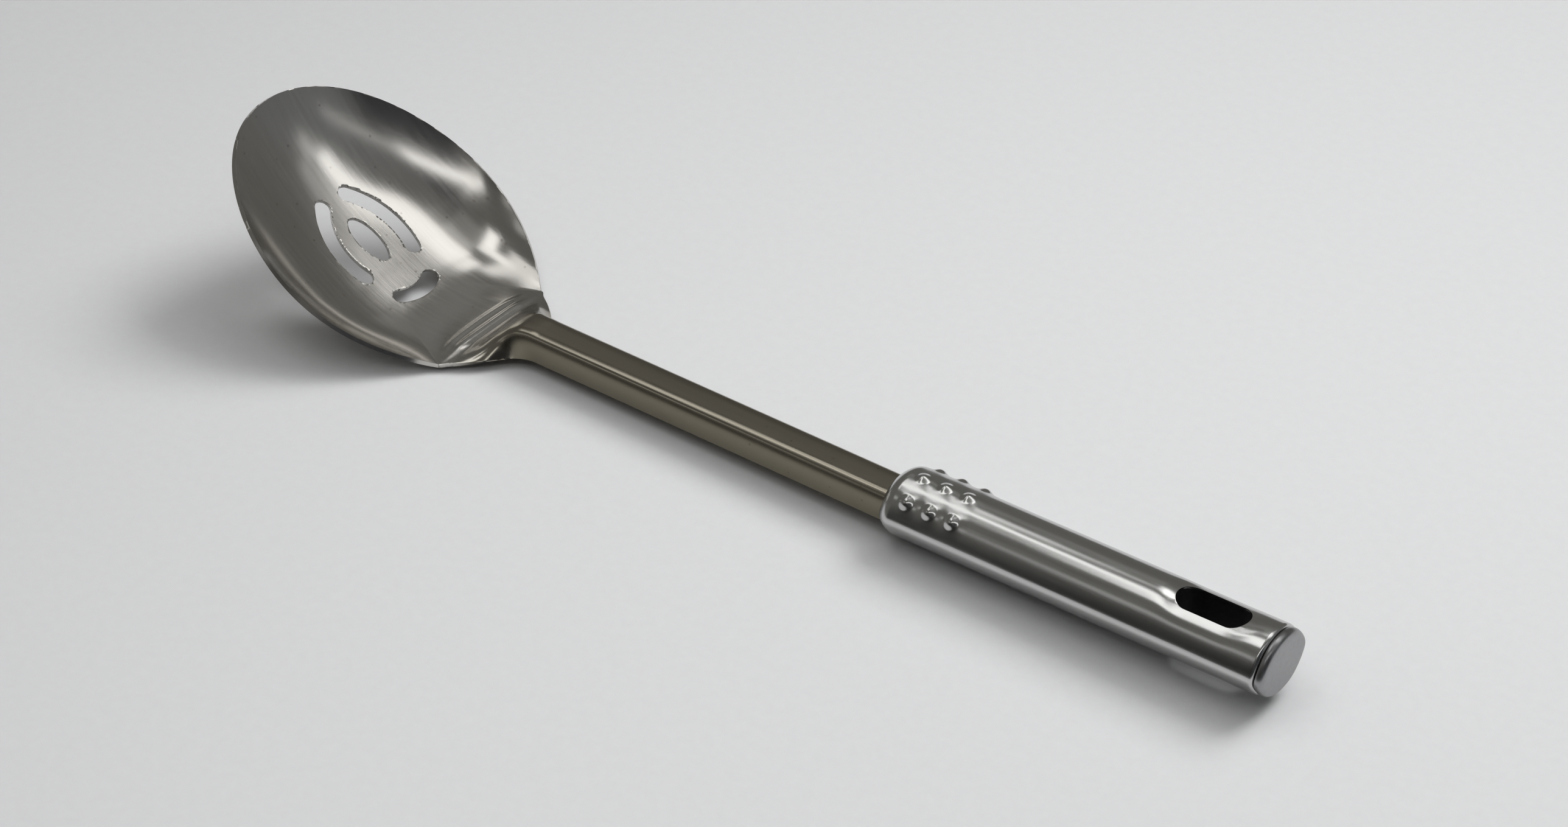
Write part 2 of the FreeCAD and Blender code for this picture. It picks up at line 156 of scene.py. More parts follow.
GRIP_CUT_PAST = 14.0        # and this far from the grip axis

# Sizes of the end cap. Its neck and face are pairs of a place behind the front of the head and
# how far the section is drawn in there.
CAP_FRONT = GRIP_LENGTH + 0.3         # the head starts behind a fine seam
CAP_INSET = 0.5
CAP_SIDE = 0.72                       # where its rounded edge starts
CAP_EDGE = 1.6                        # rounding of the edge
CAP_NECK = [(-4.0, 1.6), (-0.25, 1.6), (-0.05, 1.15), (0.0, 0.62), (0.15, CAP_INSET)]
CAP_FACE = [(2.34, 2.9), (2.36, 5.0)]
CAP_CROWN = 0.01                      # how far the middle of the face stands out
CAP_AROUND = 180


# Mesh helpers

def laid(points):
    """The points where the lying spoon has them, in metres."""
    along, across, up = np.asarray(points, float).reshape(-1, 3).T
    cosine = math.cos(PITCH)
    sine = math.sin(PITCH)
    turned = np.column_stack([along * cosine - up * sine, across, along * sine + up * cosine])
    return (turned + GRIP_FRONT_AT) * MM


def mesh_object(name, points, faces):
    mesh = bpy.data.meshes.new(name)
    mesh.from_pydata([tuple(point) for point in laid(points)], [], faces)
    mesh.validate()
    edit = bmesh.new()
    edit.from_mesh(mesh)
    bmesh.ops.remove_doubles(edit, verts=edit.verts, dist=WELD)
    bmesh.ops.recalc_face_normals(edit, faces=edit.faces)
    edit.to_mesh(mesh)
    edit.free()
    mesh.polygons.foreach_set("use_smooth", [True] * len(mesh.polygons))
    obj = bpy.data.objects.new(name, mesh)
    bpy.context.scene.collection.objects.link(obj)
    return obj


def grid_faces(rows, columns, base=0, wrap=False):
    """Faces between rows of points. With wrap, the end of each row joins its start."""
    faces = []
    for i in range(rows - 1):
        for j in range(columns if wrap else columns - 1):
            a = base + i * columns + j
            b = base + i * columns + (j + 1) % columns
            faces.append((a, b, b + columns, a + columns))
    return faces


def ringed_solid(name, rings, crown=0.0):
    """Solid through rings of points, with a fan over each end, the last one raised by crown."""
    around = len(rings[0])
    points = [point for ring in rings for point in ring]
    faces = grid_faces(len(rings), around, wrap=True)
    last_ring = len(points) - around
    first_middle = len(points)
    last_middle = first_middle + 1
    points.append((rings[0][0][0], 0.0, 0.0))
    points.append((rings[-1][0][0] + crown, 0.0, 0.0))
    for j in range(around):
        after = (j + 1) % around
        faces.append((first_middle, after, j))
        faces.append((last_ring + j, last_ring + after, last_middle))
    return mesh_object(name, points, faces)


def prism(name, bottom, top):
    """Solid between two outlines with the same number of points."""
    count = len(bottom)
    faces = [tuple(range(count)), tuple(range(2 * count - 1, count - 1, -1))]
    faces += [(k, (k + 1) % count, (k + 1) % count + count, k + count) for k in range(count)]
    return mesh_object(name, bottom + top, faces)


def apply_modifiers(obj):
    graph = bpy.context.evaluated_depsgraph_get()
    graph.update()
    mesh = bpy.data.meshes.new_from_object(obj.evaluated_get(graph))
    obj.modifiers.clear()
    old = obj.data
    obj.data = mesh
    bpy.data.meshes.remove(old)


def cut_with(obj, cutters):
    for cutter in cutters:
        cut = obj.modifiers.new(cutter.name, "BOOLEAN")
        cut.operation = "DIFFERENCE"
        cut.solver = "EXACT"
        cut.object = cutter
    apply_modifiers(obj)
    for cutter in cutters:
        mesh = cutter.data
        bpy.data.objects.remove(cutter)
        bpy.data.meshes.remove(mesh)


def finish_edges(obj, width, angle, segments):
    """Small rounds on the sharp edges, and even shading over the faces beside them."""
    obj.data.polygons.foreach_set("use_smooth", [True] * len(obj.data.polygons))
    bevel = obj.modifiers.new("soft_edges", "BEVEL")
    bevel.width = width * MM
    bevel.segments = segments
    bevel.limit_method = "ANGLE"
    bevel.angle_limit = math.radians(angle)
    normal = obj.modifiers.new("even_normals", "WEIGHTED_NORMAL")
    normal.keep_sharp = True


def ease(start, end, value):
    """0 up to start, 1 from end on, with a soft change between them."""
    t = min(1.0, max(0.0, (value - start) / (end - start)))
    return t * t * (3 - 2 * t)


def hermite(t, start, end, start_slope, end_slope):
    """Cubic from start to end as t goes from 0 to 1, with the slopes given at its ends."""
    return ((2 * t ** 3 - 3 * t ** 2 + 1) * start + (t ** 3 - 2 * t ** 2 + t) * start_slope
            + (3 * t ** 2 - 2 * t ** 3) * end + (t ** 3 - t ** 2) * end_slope)


def arc(middle_x, middle_y, radius, first, last, steps):
    return [(middle_x + radius * math.cos(angle), middle_y + radius * math.sin(angle))
            for angle in np.linspace(first, last, steps + 1)]


# Bowl, neck and shank: one sheet

def rim(phi):
    """Point of the rim, where phi is 0 at the tip and half a turn at the far end of the oval."""
    c = math.cos(phi)
    x = BOWL_TIP + BOWL_LENGTH * (1 - c) / 2
    half = (RIM_HALF_WIDTH + RIM_EGG * c - RIM_SQUARE * math.cos(2 * phi)
            + RIM_POINT * math.cos(3 * phi))
    z = RIM_MIDDLE + RIM_RAKE * c + RIM_SAG * c ** 2 - RIM_CURL * c ** 3
    return np.array([x, half * math.sin(phi), z])


# angle along the rim at which it meets the neck
CORNER = math.acos(1 - 2 * (NECK_FRONT - BOWL_TIP) / BOWL_LENGTH)
TILT = math.atan(FLOOR_SLOPE)


def floor_height(x):
    """The floor of the bowl is a raked plane that levels out towards the neck."""
    if x <= FLOOR_KNEE:
        return FLOOR_KNEE_LEVEL + FLOOR_SLOPE * (FLOOR_KNEE - x)
    run = NECK_FRONT - FLOOR_KNEE
    return hermite((x - FLOOR_KNEE) / run, FLOOR_KNEE_LEVEL, NECK_FLOOR_LEVEL,
                   -run * FLOOR_SLOPE, run * FLOOR_END_SLOPE)


def folded_section(x, flat_half, edge_half, top, edge):
    """Half of the folded sheet's top line across the axis, from the centre to the edge."""
    fall = top - edge
    spread = edge_half - flat_half
    opened = ease(SHANK_HALF_WIDTH, NECK_MOUTH, edge_half)
    closed = 1 - opened
    controls = np.array([
        (0, top),
        (flat_half * 0.5, top),
        # the fold starts here
        (flat_half * (0.82 + 0.1 * opened), top - fall * 0.015),
        (flat_half + spread * 0.12 + closed * 0.1, top - fall * (0.16 + 0.1 * opened)),
        # half way down the flange
        (flat_half + spread * 0.5 + closed * 0.2, top - fall * (0.55 - 0.02 * opened)),
        (edge_half, edge),
    ])
    # even steps along a cubic B-spline, which the mirrored end points tie to both ends
    points = np.vstack([2 * controls[0] - controls[1], controls, 2 * controls[-1] - controls[-2]])
    spans = len(controls) - 1
    line = []
    for step in range(ACROSS + 1):
        place = step / ACROSS * spans
        span = min(int(place), spans - 1)
        t = place - span
        weights = ((1 - t) ** 3, 3 * t ** 3 - 6 * t ** 2 + 4,
                   -3 * t ** 3 + 3 * t ** 2 + 3 * t + 1, t ** 3)
        line.append((x, *np.dot(weights, points[span:span + 4]) / 6))
    return np.array(line)


def neck_at(x):
    """Half widths and heights of the neck at x, by a cubic that never overshoots a station."""
    places = NECK[:, 0]
    sizes = NECK[:, 1:]
    i = int(np.clip(np.searchsorted(places, x) - 1, 0, len(places) - 2))
    step = places[i + 1] - places[i]

    def slope(k):
        if k == 0 or k == len(places) - 1:
            return np.zeros(4)
        before = (sizes[k] - sizes[k - 1]) / (places[k] - places[k - 1])
        after = (sizes[k + 1] - sizes[k]) / (places[k + 1] - places[k])
        turns = before * after <= 0
        return np.where(turns, 0.0, 2 * before * after / np.where(turns, 1.0, before + after))

    return hermite((x - places[i]) / step, sizes[i], sizes[i + 1],
                   slope(i) * step, slope(i + 1) * step)


def ridge_height(x, y):
    """Height of the press ridges that cross the neck between bowl and shank."""
    lift = 0.0
    for place, bow, reach, height, width in RIDGES:
        fade = 1 - ease(reach - RIDGE_FADE_INSIDE, reach + RIDGE_FADE_OUTSIDE, abs(y))
        crest = place + bow * y * y
        lift += height * fade * math.exp(-((x - crest) / width) ** 2)
    return lift


def bowl_outline():
    """Half of the bowl's outline with its angles: along the rim, then along the neck's front."""
    outline = []
    drop = NECK_CORNER_LEVEL - rim(CORNER)[2]
    for i in range(RIM_STEPS):
        phi = CORNER * i / RIM_STEPS
        # near the neck the rim drops a little, so that it meets the corner smoothly
        outline.append((phi, rim(phi) + (0, 0, drop * ease(0.85, 1.0, i / RIM_STEPS))))
    neck_front = folded_section(NECK_FRONT, *neck_at(NECK_FRONT))
    for i, point in enumerate(neck_front[::-1]):
        outline.append((CORNER + (math.pi - CORNER) * i / ACROSS, point))
    return outline


def dish_ray(phi, end):
    """Points of the dish from inside the centre slot out to a point of the outline."""
    start_x = POLE - INSIDE_SLOT * CENTRE_SLOT_LONG * math.cos(TILT) * math.cos(phi)
    start_y = INSIDE_SLOT * CENTRE_SLOT_WIDE * math.sin(phi)
    begun = math.hypot(start_x - POLE, start_y) / math.hypot(end[0] - POLE, end[1])
    wall = end[2] - floor_height(end[0])
    power = DISH_POWER + (DISH_POWER_NECK - DISH_POWER) * min(phi / CORNER, 1.0) ** 3
    ray = []
    for share in RINGS:
        x = start_x + (end[0] - start_x) * share
        y = start_y + (end[1] - start_y) * share
        rise = wall * (begun + (1 - begun) * share) ** power
        ray.append((x, y, floor_height(x) + rise + ridge_height(x, y)))
    return ray


def shank_row(x):
    """Points across the neck or the shank, from one edge to the other."""
    if x <= NECK_END:
        half = folded_section(x, *neck_at(x))
        half[:, 2] += [ridge_height(x, y) for y in half[:, 1]]
    else:
        top = SHANK_TOP - SHANK_RISE * x
        half = folded_section(x, SHANK_FLAT_HALF, SHANK_HALF_WIDTH, top, top - SHANK_DEPTH)
    return [*half[::-1], *(half[1:] * (1, -1, 1))]


def build_sheet():
    half = [dish_ray(phi, end) for phi, end in bowl_outline()]
    other = [[(x, -y, z) for x, y, z in ray] for ray in reversed(half[1:-1])]
    rays = half + other + half[:1]
    points = [point for ray in rays for point in ray]
    faces = grid_faces(len(rays), len(RINGS))
    places = [*np.linspace(NECK_FRONT, NECK_FOOT_END, 22),
              *np.linspace(NECK_FOOT_END, NECK_END, 44)[1:],
              *np.linspace(NECK_END, SHANK_TAIL_END, 50)[1:]]
    faces += grid_faces(len(places), 2 * ACROSS + 1, base=len(points))
    for x in places:
        points += shank_row(x)
    return mesh_object("blank_sheet", points, faces)


# Slots of the bowl

def curved_slot(middle_x, middle_y, radius, first, last):
    """Outline of a slot along an arc, with round ends."""
    near = (middle_x + radius * math.cos(first), middle_y + radius * math.sin(first))
    far = (middle_x + radius * math.cos(last), middle_y + radius * math.sin(last))
    half = SLOT_HALF_WIDTH
    return (arc(middle_x, middle_y, radius + half, first, last, SLOT_SIDE_STEPS)
            + arc(*far, half, last, last + math.pi, SLOT_END_STEPS)[1:-1]
            + arc(middle_x, middle_y, radius - half, last, first, SLOT_SIDE_STEPS)
            + arc(*near, half, first + math.pi, first + 2 * math.pi, SLOT_END_STEPS)[1:-1])


def side_slot(side):
    """The long slot on the left, where side is 1, or on the right, where it is -1."""
    front = math.asin(SIDE_SLOT_FRONT / SIDE_SLOT_RADIUS)
    rear = math.asin(SIDE_SLOT_BACK / SIDE_SLOT_RADIUS)
    outwards = side * math.pi / 2
    first, last = sorted((outwards - side * rear, outwards + side * front))
    return curved_slot(SIDE_SLOT_MIDDLE, side * (SIDE_SLOT_REACH - SIDE_SLOT_RADIUS),
                       SIDE_SLOT_RADIUS, first, last)


def cross_slot():
    swing = math.asin(CROSS_SLOT_HALF / CROSS_SLOT_RADIUS)
    return curved_slot(CROSS_SLOT_REACH - CROSS_SLOT_RADIUS, 0.0, CROSS_SLOT_RADIUS, -swing, swing)


def centre_slot():
    return [(CENTRE_SLOT_LONG * across, CENTRE_SLOT_WIDE * up)
            for across, up in arc(0.0, 0.0, 1.0, 0.0, 2 * math.pi, 96)[:-1]]


def floor_cutter(name, outline):
    """Prism through the bowl's floor, square to its raked plane."""
    cosine = math.cos(TILT)
    sine = math.sin(TILT)
    pole_height = floor_height(POLE)
    bottom, top = (
        [(POLE + u * cosine + w * sine, v, pole_height - u * sine + w * cosine) for u, v in outline]
        for w in (-CUT_PAST, CUT_PAST))
    return prism(name, bottom, top)


blank = build_sheet()
gauge = blank.modifiers.new("gauge", "SOLIDIFY")
gauge.thickness = GAUGE * MM
gauge.offset = -1.0
gauge.use_even_offset = True
apply_modifiers(blank)
cut_with(blank, [
    floor_cutter("centre_cut", centre_slot()),
    floor_cutter("left_cut", side_slot(1)),
    floor_cutter("right_cut", side_slot(-1)),
    floor_cutter("cross_cut", cross_slot()),
])
finish_edges(blank, width=0.22, angle=50, segments=2)


# Grip tube

def oval(angle, inset=0.0):
    """Point of the grip's section, drawn in by inset, and the way outwards there."""
    across = math.cos(angle)
    up = math.sin(angle)
    squeeze = 1 - TIGHT_SIDE * across ** 4
    y = GRIP_HALF_WIDTH * across
    z = GRIP_HALF_HEIGHT * up * squeeze
    turn_y = -GRIP_HALF_WIDTH * up
    turn_z = GRIP_HALF_HEIGHT * (across * squeeze + 4 * TIGHT_SIDE * across ** 3 * up ** 2)
    length = math.hypot(turn_y, turn_z)
    return (y * (1 - inset / GRIP_HALF_WIDTH), z * (1 - inset / GRIP_HALF_HEIGHT),
            turn_z / length, -turn_y / length)


def oval_ring(x, inset, around):
    return [(x, *oval(2 * math.pi * j / around, inset)[:2]) for j in range(around)]


STUD_TURN = math.acos(STUD_SIDE / GRIP_HALF_WIDTH)
STUDS = [(x, *oval(angle)[:2]) for x in STUD_ROWS
         for angle in (math.pi / 2, STUD_TURN, math.pi - STUD_TURN)]


def pressed(x, y, z):
    """Height of the soft studs and of the dip at the hang slot above the plain tube."""
    lift = 0.0
    if z > 0 and x < STUD_ZONE_END:
        for stud in STUDS:
            apart = math.dist((x, y, z), stud)
            swell = SWELL_HEIGHT * math.exp(-(apart / SWELL_SPREAD) ** 2)
            lift += STUD_HEIGHT * (1 - ease(STUD_FLAT, STUD_FOOT, apart))
            lift += swell * (1 - ease(SWELL_FADE_START, SWELL_FADE_END, apart))
    elif x > SLOT_ZONE_START:
        along = max(0.0, abs(x - HANG_SLOT_MIDDLE) - HANG_SLOT_HALF_STRAIGHT)
        apart = max(0.0, math.hypot(along, y) - HANG_SLOT_HALF_WIDTH)
        lift = -DIP_DEPTH * math.exp(-(apart / DIP_SPREAD) ** 2)
    return lift


def tube_rows():
    """Places along the tube, each with how far the section is drawn in there."""
    rows = list(NOSE_EDGE)
    for x in np.linspace(NOSE_EDGE[-1][0], NOSE, 15)[1:]:
        rows.append((x, NOSE_DRAW * (1 - x / NOSE) ** 2))
    plain = [*np.arange(NOSE + STUD_STEP, STUD_ZONE_END, STUD_STEP),
             *np.linspace(STUD_ZONE_END, GRIP_LENGTH - REAR_ROUND, 56)]
    rows += [(x, 0.0) for x in plain]
    for turn in np.linspace(0.0, math.pi / 2, 9)[1:]:
        rows.append((GRIP_LENGTH - REAR_ROUND * (1 - math.sin(turn)),
                     REAR_ROUND * (1 - math.cos(turn))))
    # the edge turned in around the cap
    rows.append((GRIP_LENGTH - 0.1, REAR_ROUND + 0.15))
    rows.append((GRIP_LENGTH - REAR_LIP_DEPTH, REAR_ROUND + 0.2))
    return rows


def build_tube():
    rings = []
    for x, inset in tube_rows():
        ring = []
        for j in range(TUBE_AROUND):
            y, z, out_y, out_z = oval(2 * math.pi * (j + 0.5) / TUBE_AROUND, inset)
            lift = pressed(x, y, z)
            ring.append((x, y + lift * out_y, z + lift * out_z))
        rings.append(ring)
    return ringed_solid("grip_tube", rings)


def bore_cutter():
    """The inside of the tube, left hollow behind its wall."""
    return ringed_solid("bore", [oval_ring(x, inset, BORE_AROUND) for x, inset in BORE_ROWS])


def upright_cutter(name, outline, low, high):
    return prism(name, [(x, y, low) for x, y in outline], [(x, y, high) for x, y in outline])


def hang_slot():
    outline = []
    for side in (1, -1):
        middle = HANG_SLOT_MIDDLE + side * HANG_SLOT_HALF_STRAIGHT
        turn = -side * math.pi / 2
        outline += arc(middle, 0.0, HANG_SLOT_HALF_WIDTH, turn, turn + math.pi, 24)
    return outline


tube = build_tube()
mouth = [(-1.0, -MOUTH_HALF_WIDTH), (MOUTH_DEPTH, -MOUTH_HALF_WIDTH),
         (MOUTH_DEPTH, MOUTH_HALF_WIDTH), (-1.0, MOUTH_HALF_WIDTH)]
cut_with(tube, [
    bore_cutter(),
    upright_cutter("hang_slot_cut", hang_slot(), -GRIP_CUT_PAST, GRIP_CUT_PAST),
    upright_cutter("mouth_cut", mouth, MOUTH_BOTTOM, MOUTH_TOP),
])
finish_edges(tube, width=0.25, angle=42, segments=3)


# End cap

def build_cap():
    rows = list(CAP_NECK)
    for turn in np.linspace(0.0, math.pi / 2, 13):
        rows.append((CAP_SIDE + CAP_EDGE * math.sin(turn),
                     CAP_INSET + CAP_EDGE * (1 - math.cos(turn))))
    rows += CAP_FACE
    rings = [oval_ring(CAP_FRONT + x, inset, CAP_AROUND) for x, inset in rows]
    return ringed_solid("cap_head", rings, crown=CAP_CROWN)


cap = build_cap()


# Materials

NOISE_LOW, NOISE_HIGH = 0.3, 0.7      # nearly all of a noise lies between these


class Graph:
    """The shader nodes of one material or of the world."""

    def __init__(self, tree):
        self.nodes = tree.nodes
        self.links = tree.links
        self.nodes.clear()

    def feed(self, socket, value):
        """Join the socket to another node's output, or give it a value of its own."""
        if isinstance(value, bpy.types.NodeSocket):
            self.links.new(value, socket)
        else:
            socket.default_value = value

    def node(self, kind, inputs):
        new = self.nodes.new("ShaderNode" + kind)
        for key, value in inputs.items():
            self.feed(new.inputs[key], value)
        return new

    def math(self, operation, *values):
        new = self.node("Math", dict(enumerate(values)))
        new.operation = operation
        return new.outputs[0]

    def place(self, scale=(1, 1, 1)):
        """Place on the object, stretched by scale."""
        source = self.node("TexCoord", {}).outputs["Object"]
        return self.node("Mapping", {"Vector": source, "Scale": scale}).outputs["Vector"]

    def noise(self, place, scale, detail, roughness):
        inputs = {"Vector": place, "Scale": scale, "Detail": detail, "Roughness": roughness}
        return self.node("TexNoise", inputs).outputs["Fac"]

    def span(self, value, low, high, start=0.0, end=1.0, kind="SMOOTHSTEP"):
        """Goes from start to end while value goes from low to high."""
        inputs = {"Value": value, "From Min": low, "From Max": high, "To Min": start, "To Max": end}
        new = self.node("MapRange", inputs)
        new.interpolation_type = kind
        return new.outputs["Result"]

    def tones(self, value, dark, light, low=NOISE_LOW, high=NOISE_HIGH):
        """Colour that goes from dark to light while value goes from low to high."""
        new = self.node("ValToRGB", {"Fac": value})
        for stop, place, colour in zip(new.color_ramp.elements, (low, high), (dark, light)):
            stop.position = place
            stop.color = (*colour, 1)
        return new.outputs["Color"]

    def mix(self, factor, first, second, kind="MIX"):
        """Mix of two colours, each written as three numbers or taken from another node."""
        new = self.nodes.new("ShaderNodeMix")
        new.data_type = "RGBA"
        new.blend_type = kind
        self.feed(new.inputs[0], factor)
        for socket, colour in ((new.inputs[6], first), (new.inputs[7], second)):
            self.feed(socket, (*colour, 1) if isinstance(colour, tuple) else colour)
        return new.outputs[2]

    def bump(self, height, strength, distance):
        inputs = {"Height": height, "Strength": strength, "Distance": distance}
        return self.node("Bump", inputs).outputs["Normal"]


def new_material(name, metallic=0.0):
    material = bpy.data.materials.new(name)
    material.use_nodes = True
    graph = Graph(material.node_tree)
    shader = graph.node("BsdfPrincipled", {"Metallic": metallic})
    graph.node("OutputMaterial", {"Surface": shader.outputs["BSDF"]})
    return material, graph, shader


SPECK_COLOUR = (0.16, 0.11, 0.07)
SHANK_TINT = (0.58, 0.55, 0.475)
# painted shade: a darker colour for the sideways-facing flanks of neck and shank
FLANK_PAINTED_SHADE = (0.71, 0.70, 0.66)
FLANK_DULLNESS = 0.22                 # added to the roughness
FLANK_FACING = (0.72, 0.90)           # how much of a flank's normal points sideways
FLANK_FROM = (-0.084, -0.070)         # where along the frame's x the flanks start, in metres
SHANK_FROM = (-0.092, -0.076)         # and where the browner shank starts


def specked(graph, colour, place, strength):
    """Small round stains."""
    spots = graph.node("TexVoronoi", {"Vector": place, "Scale": 230.0})
    gate = graph.tones(spots.outputs["Distance"], (1, 1, 1), (0, 0, 0), 0.05, 0.11)
    return graph.mix(graph.math("MULTIPLY", gate, strength), colour, SPECK_COLOUR)


def flank_shade_and_shank_masks(graph):
    """Masks of the flanks of neck and shank, which get painted shade, and of the shank."""
    geometry = graph.node("NewGeometry", {})
    facing = graph.node("SeparateXYZ", {"Vector": geometry.outputs["True Normal"]})
    where = graph.node("SeparateXYZ", {"Vector": geometry.outputs["Position"]})
    sideways = graph.span(graph.math("ABSOLUTE", facing.outputs["Y"]), *FLANK_FACING)
    along = graph.span(where.outputs["X"], *FLANK_FROM)
    shank = graph.span(where.outputs["X"], *SHANK_FROM)
    return graph.math("MULTIPLY", sideways, along), shank


def steel(name, dark, light, roughness, grain, grain_depth, mottling, specks=0.0, flanks=False):
    """Stainless steel with brushed streaks, soft mottling and fine grain, and with flanks, painted
    shade on the flanks of neck and shank.
    """
    material, graph, shader = new_material(name, metallic=1.0)
    place = graph.place()
    streaks = graph.noise(graph.place(grain), 1.0, 6.0, 0.65)
    clouds = graph.noise(place, 38.0, 4.0, 0.55)
    fine = graph.noise(place, 2400.0, 2.0, 0.6)
    # inputs 2 and 3 of a Mix node are its numbers, and 6 and 7 its colours
    tone = graph.node("Mix", {0: mottling, 2: streaks, 3: clouds}).outputs[0]

    colour = graph.tones(tone, dark, light)
    rough = graph.span(tone, NOISE_LOW, NOISE_HIGH, *roughness, kind="LINEAR")
    if specks:
        colour = specked(graph, colour, place, specks)
    if flanks:
        # painted shade on the flanks of neck and shank, and a browner tint over the shank
        flank, shank = flank_shade_and_shank_masks(graph)
        colour = graph.mix(shank, colour, SHANK_TINT, kind="MULTIPLY")
        colour = graph.mix(flank, colour, FLANK_PAINTED_SHADE, kind="MULTIPLY")
        rough = graph.math("MULTIPLY_ADD", flank, FLANK_DULLNESS, rough)
    height = graph.math("ADD", streaks, graph.math("MULTIPLY", fine, 0.35))
    graph.feed(shader.inputs["Base Color"], colour)
    graph.feed(shader.inputs["Roughness"], rough)
    graph.feed(shader.inputs["Normal"], graph.bump(height, grain_depth, 0.00002))
    return material


def black_plastic():
    material, graph, shader = new_material("core_plastic")
    fine = graph.noise(graph.place(), 900.0, 3.0, 0.6)
    colour = graph.tones(fine, (0.006, 0.006, 0.006), (0.014, 0.014, 0.015))
    graph.feed(shader.inputs["Base Color"], colour)
    graph.feed(shader.inputs["Roughness"], 0.55)
    graph.feed(shader.inputs["Normal"], graph.bump(fine, 0.3, 0.00004))
    return material


def pale_paper():
    """Material of the table, with painted shade that greys it a little away from a point near the
    spoon.
    """
    material, graph, shader = new_material("table")
    place = graph.place()
    fine = graph.noise(place, 300.0, 4.0, 0.6)
    colour = graph.tones(fine, (0.715, 0.72, 0.73), (0.745, 0.75, 0.76), 0.2, 0.8)
    # painted shade: the colour darkens with distance from this point, in place of the light's
    # falloff
    apart = graph.node("VectorMath", {0: place, 1: (0.22, -0.06, 0.0)})
    apart.operation = "DISTANCE"
    shade = graph.span(apart.outputs["Value"], 0.15, 0.85, 1.0, 0.74)
    painted_falloff = graph.node("VectorMath", {0: colour})
    painted_falloff.operation = "SCALE"
    graph.feed(painted_falloff.inputs["Scale"], shade)
    graph.feed(shader.inputs["Base Color"], painted_falloff.outputs["Vector"])
    graph.feed(shader.inputs["Roughness"], 0.9)
    graph.feed(shader.inputs["Specular IOR Level"], 0.1)
    return material


blank_steel = steel(
    "blank_steel", dark=(0.50, 0.485, 0.455), light=(0.58, 0.565, 0.535), roughness=(0.14, 0.21),
    grain=(60, 900, 60), grain_depth=0.35, mottling=0.45, specks=0.3, flanks=True)
grip_steel = steel(
    "grip_steel", dark=(0.50, 0.50, 0.49), light=(0.58, 0.58, 0.57), roughness=(0.15, 0.21),
    grain=(45, 1100, 1100), grain_depth=0.3, mottling=0.3)
cap_steel = steel(
    "cap_steel", dark=(0.29, 0.29, 0.295), light=(0.37, 0.37, 0.375), roughness=(0.27, 0.35),
    grain=(700, 700, 700), grain_depth=0.5, mottling=0.3)


# Pieces and the nodes that they take the place of

def dress(obj, material):
    obj.data.materials.clear()
    obj.data.materials.append(material)


for piece, material, slot, node in (
    (blank, blank_steel, "blank_steel", "spoon_blank"),
    (tube, grip_steel, "grip_steel", "handle_tube"),
    (cap, cap_steel, "cap_steel", "end_cap"),
):
    dress(piece, material)
    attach(piece, "root")
    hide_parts(node)

core_black = black_plastic()
for core_slot in bpy.data.objects["handle_core"].material_slots:
    core_slot.material = core_black

bpy.ops.mesh.primitive_plane_add(size=8, location=(0, 0, 0))
table = bpy.context.object
table.name = "table"
dress(table, pale_paper())


# Light, in metres

def area_light(name, location, rotation, size_x, size_y, power):
    data = bpy.data.lights.new(name, "AREA")
    data.shape = "RECTANGLE"
    data.size = size_x
    data.size_y = size_y
    data.energy = power
    obj = bpy.data.objects.new(name, data)
    obj.location = location
    obj.rotation_euler = rotation
    bpy.context.scene.collection.objects.link(obj)
    return obj


CEILING = 1.5
# Soft panels that the steel reflects: name, middle x, middle y, size x, size y, glow, turn in
# degrees. A glow of 1 looks white.
PANELS = (
    ("key_low", -0.44, -0.22, 0.32, 0.50, 1.7, 0),
    ("key_high", -0.60, 0.15, 0.62, 0.24, 1.5, 0),
    ("left_row", -0.93, 0.28, 0.29, 1.12, 1.25, -14),
    ("far_row", 0.14, 0.78, 0.98, 0.54, 1.6, 0),
    ("mid_row", 0.10, 0.40, 0.72, 0.36, 0.45, 0),
    ("grey_row", 0.06, -0.03, 0.80, 0.50, 0.14, 0),
    ("window", 0.98, 0.93, 0.76, 0.32, 1.75, 12),
    ("window_far", 1.58, 1.33, 0.50, 0.32, 0.55, 20),
    ("cloud", 0.80, 1.36, 1.20, 0.34, 0.38, 25),
    ("wall_glow", -1.20, 1.45, 1.30, 0.50, 0.10, 0),
    ("strip_low", 0.57, -0.79, 1.56, 0.19, 2.2, 50),
    ("strip_high", 1.55, 0.20, 1.30, 0.16, 0.5, 39),
    ("lamp", -0.87, -1.74, 0.44, 0.46, 0.42, 0),
    ("lamp_left", -1.32, -1.22, 0.50, 0.40, 0.45, 0),
)


def panel(name, x, y, size_x, size_y, glow, turn=0.0, height=CEILING):
    power = glow * math.pi * size_x * size_y
    area_light(name, (x, y, height), (0, 0, math.radians(turn)), size_x, size_y, power)


def table_light(name, location, target, size_x, size_y, power):
    """Light on the table and on the grain, without a reflection of its own in the steel."""
    aim = (Vector(target) - Vector(location)).to_track_quat("-Z", "Y").to_euler()
    obj = area_light(name, location, aim, size_x, size_y, power)
    obj.visible_glossy = False
    return obj


for name, *sizes in PANELS:
    panel(name, *sizes)
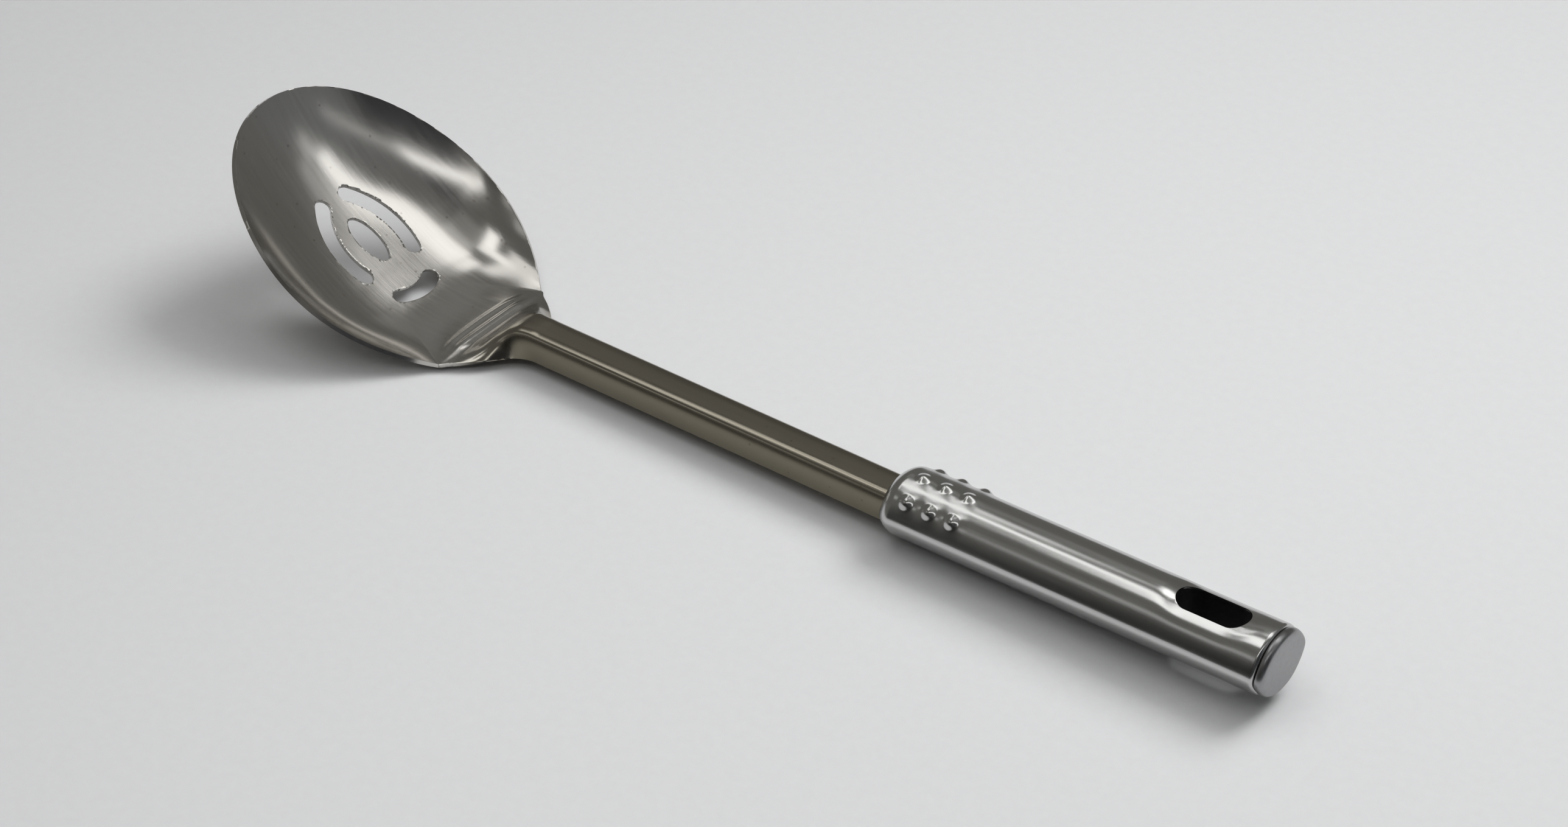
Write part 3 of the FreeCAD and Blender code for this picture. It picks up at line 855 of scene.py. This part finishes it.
# seen by the bowl in the gap between two rows, and by no other part of the steel
panel("far_high", -0.885, 1.63, 0.53, 0.86, 1.5, height=3.0)
main = table_light("table_light", (0.45, 1.75, 1.75), (0.06, -0.05, 0.0), 1.4, 1.1, 8.8)
main.data.spread = math.radians(80)
table_light("table_fill", (0.1, 0.0, 2.4), (0.1, 0.0, 0.0), 3.4, 3.4, 14.5)


def room(light, dark, right_side, corner):
    """World: a plain room, darker behind the camera, lighter to the right, one dark corner."""
    world = bpy.data.worlds.new("studio")
    bpy.context.scene.world = world
    world.use_nodes = True
    graph = Graph(world.node_tree)
    coordinates = graph.node("TexCoord", {})
    way = graph.node("SeparateXYZ", {"Vector": coordinates.outputs["Generated"]})
    behind = graph.span(way.outputs["Y"], -0.66, -0.92)
    right = graph.span(way.outputs["X"], 0.25, 0.8)
    rightish = graph.span(way.outputs["X"], 0.22, 0.46)
    nearside = graph.span(way.outputs["Y"], 0.03, -0.16)
    colour = graph.mix(behind, light, dark)
    colour = graph.mix(right, colour, right_side)
    colour = graph.mix(graph.math("MULTIPLY", rightish, nearside), colour, corner)
    background = graph.node("Background", {"Color": colour})
    graph.node("OutputWorld", {"Surface": background.outputs["Background"]})


room(light=(0.155, 0.152, 0.143), dark=(0.030, 0.030, 0.028), right_side=(0.185, 0.19, 0.195),
     corner=(0.045, 0.046, 0.05))


# Camera, solved from the outline of the spoon in the photograph

CAMERA_AT = (0.50659, -0.64006, 0.62188)
CAMERA_RIGHT = (0.79514, 0.60643, -0.00262)
CAMERA_UP = (-0.36127, 0.47714, 0.80114)
CAMERA_BACK = (0.48708, -0.63607, 0.59848)

lens = bpy.data.cameras.new("camera")
lens.sensor_width = 36.0
lens.lens = 84.067
lens.clip_end = 20
camera = bpy.data.objects.new("camera", lens)
axes = Matrix((CAMERA_RIGHT, CAMERA_UP, CAMERA_BACK)).transposed().to_4x4()
camera.matrix_world = Matrix.Translation(CAMERA_AT) @ axes
bpy.context.scene.collection.objects.link(camera)
bpy.context.scene.camera = camera
bpy.context.scene.view_settings.view_transform = "Standard"
